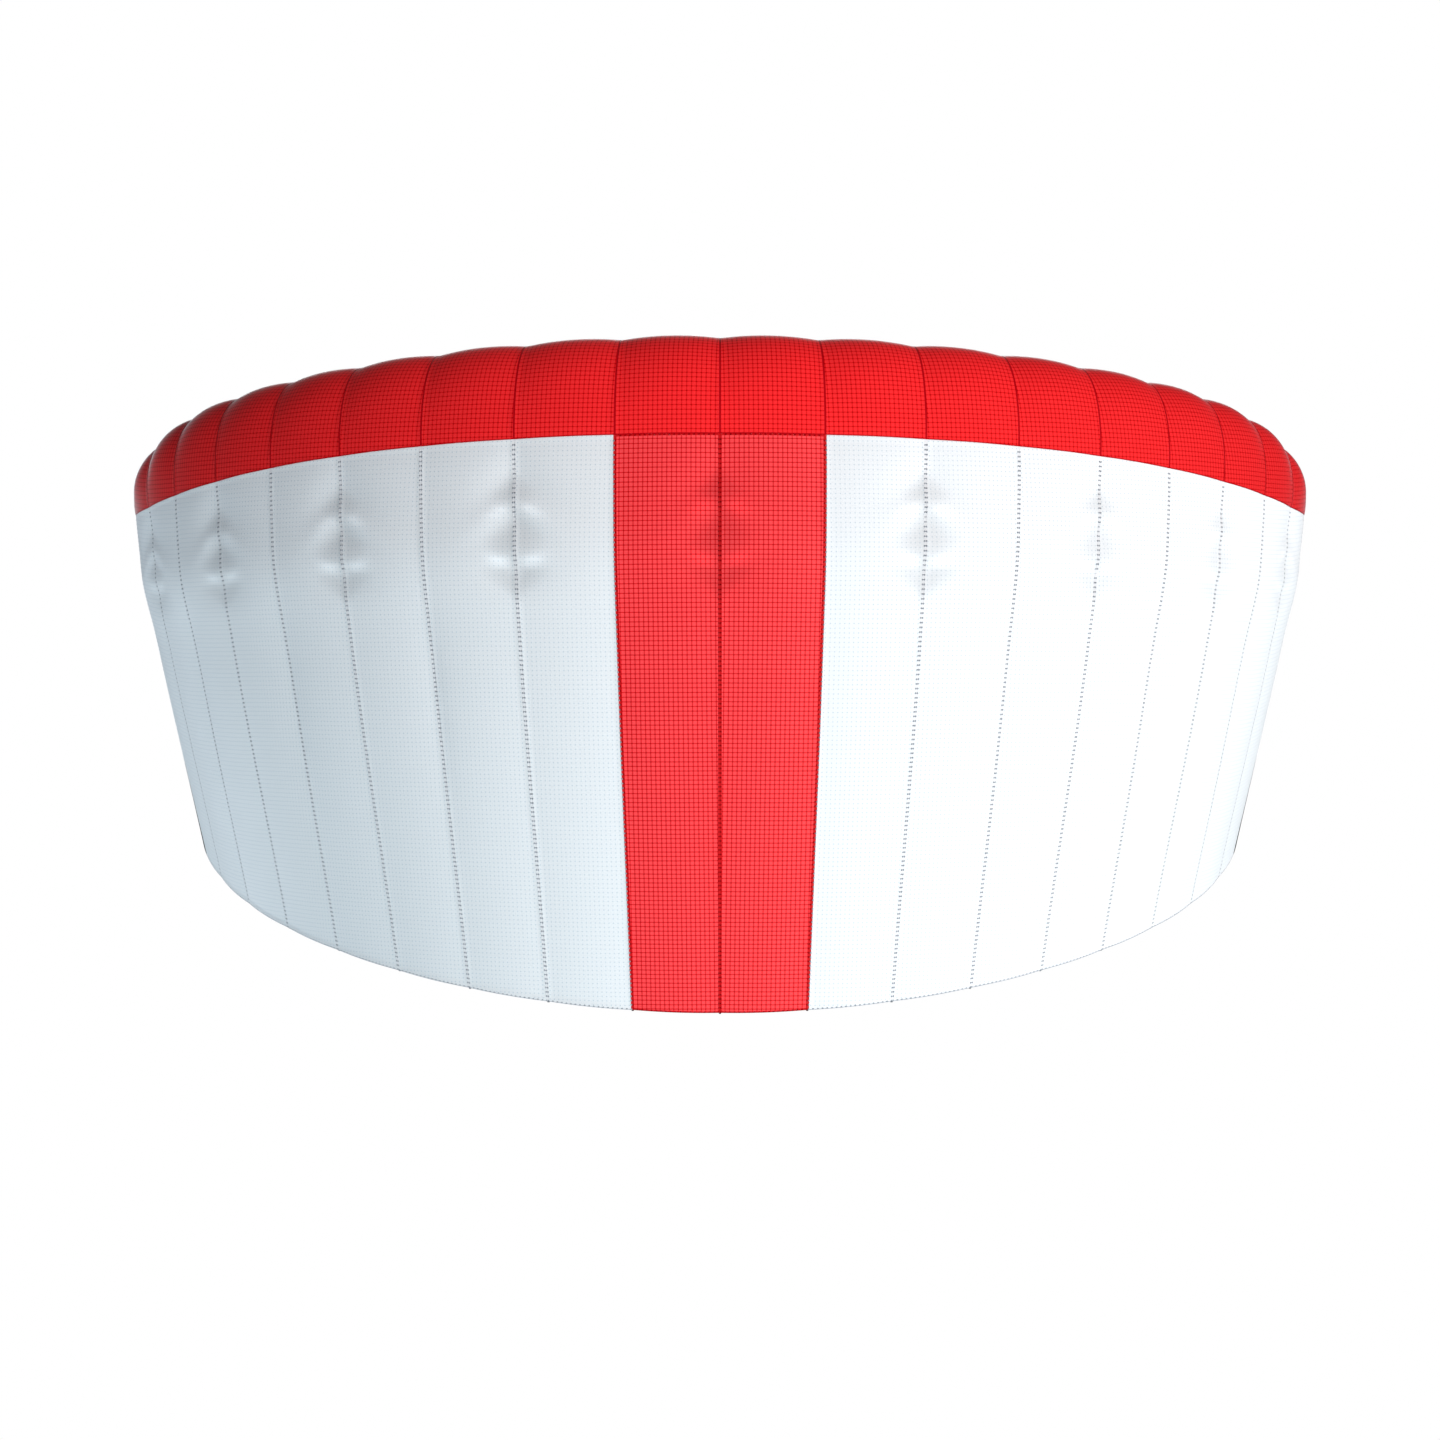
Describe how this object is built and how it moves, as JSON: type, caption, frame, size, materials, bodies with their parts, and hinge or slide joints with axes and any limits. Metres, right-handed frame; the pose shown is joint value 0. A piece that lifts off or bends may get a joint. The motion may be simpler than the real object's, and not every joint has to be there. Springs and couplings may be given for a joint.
{
  "type": "parawing",
  "caption": "Single-skin parawing canopy, arched across its span and cambered along its chord, with a rounded nose band, chordwise panels, line pulls and rear line loops.",
  "frame": {"origin": "the inner face of the middle seam where the middle one of its three bridle lines pulls, 158 mm behind the seam of the nose band", "axes": "+X along the span, +Z toward the leading edge, and +Y from the outer skin to the hollow side, where the lines leave; the tips curl toward +Y"},
  "size_m": [2.5374, 0.9459, 1.2754],
  "materials": {
    "red_cloth": "coated ripstop, satin",
    "white_cloth": "coated ripstop, satin",
    "black_webbing": "woven tape, matt"
  },
  "bodies": {
    "root": {"nose_panel_left_1": "red_cloth", "nose_panel_left_2": "red_cloth", "nose_panel_left_3": "red_cloth", "nose_panel_left_4": "red_cloth", "nose_panel_left_5": "red_cloth", "nose_panel_left_6": "red_cloth", "nose_panel_left_7": "red_cloth", "nose_panel_left_8": "red_cloth", "nose_panel_left_9": "red_cloth", "nose_panel_right_1": "red_cloth", "nose_panel_right_2": "red_cloth", "nose_panel_right_3": "red_cloth", "nose_panel_right_4": "red_cloth", "nose_panel_right_5": "red_cloth", "nose_panel_right_6": "red_cloth", "nose_panel_right_7": "red_cloth", "nose_panel_right_8": "red_cloth", "nose_panel_right_9": "red_cloth", "skin_panel_left_1": "red_cloth", "skin_panel_left_2": "white_cloth", "skin_panel_left_3": "white_cloth", "skin_panel_left_4": "white_cloth", "skin_panel_left_5": "white_cloth", "skin_panel_left_6": "white_cloth", "skin_panel_left_7": "white_cloth", "skin_panel_left_8": "white_cloth", "skin_panel_left_9": "white_cloth", "skin_panel_right_1": "red_cloth", "skin_panel_right_2": "white_cloth", "skin_panel_right_3": "white_cloth", "skin_panel_right_4": "white_cloth", "skin_panel_right_5": "white_cloth", "skin_panel_right_6": "white_cloth", "skin_panel_right_7": "white_cloth", "skin_panel_right_8": "white_cloth", "skin_panel_right_9": "white_cloth", "line_tab_left_8": "black_webbing", "line_tab_left_7": "black_webbing", "line_tab_left_6": "black_webbing", "line_tab_left_5": "black_webbing", "line_tab_left_4": "black_webbing", "line_tab_left_3": "black_webbing", "line_tab_left_2": "black_webbing", "line_tab_left_1": "black_webbing", "line_tab_middle": "black_webbing", "line_tab_right_1": "black_webbing", "line_tab_right_2": "black_webbing", "line_tab_right_3": "black_webbing", "line_tab_right_4": "black_webbing", "line_tab_right_5": "black_webbing", "line_tab_right_6": "black_webbing", "line_tab_right_7": "black_webbing", "line_tab_right_8": "black_webbing"}
  },
  "joints": []
}
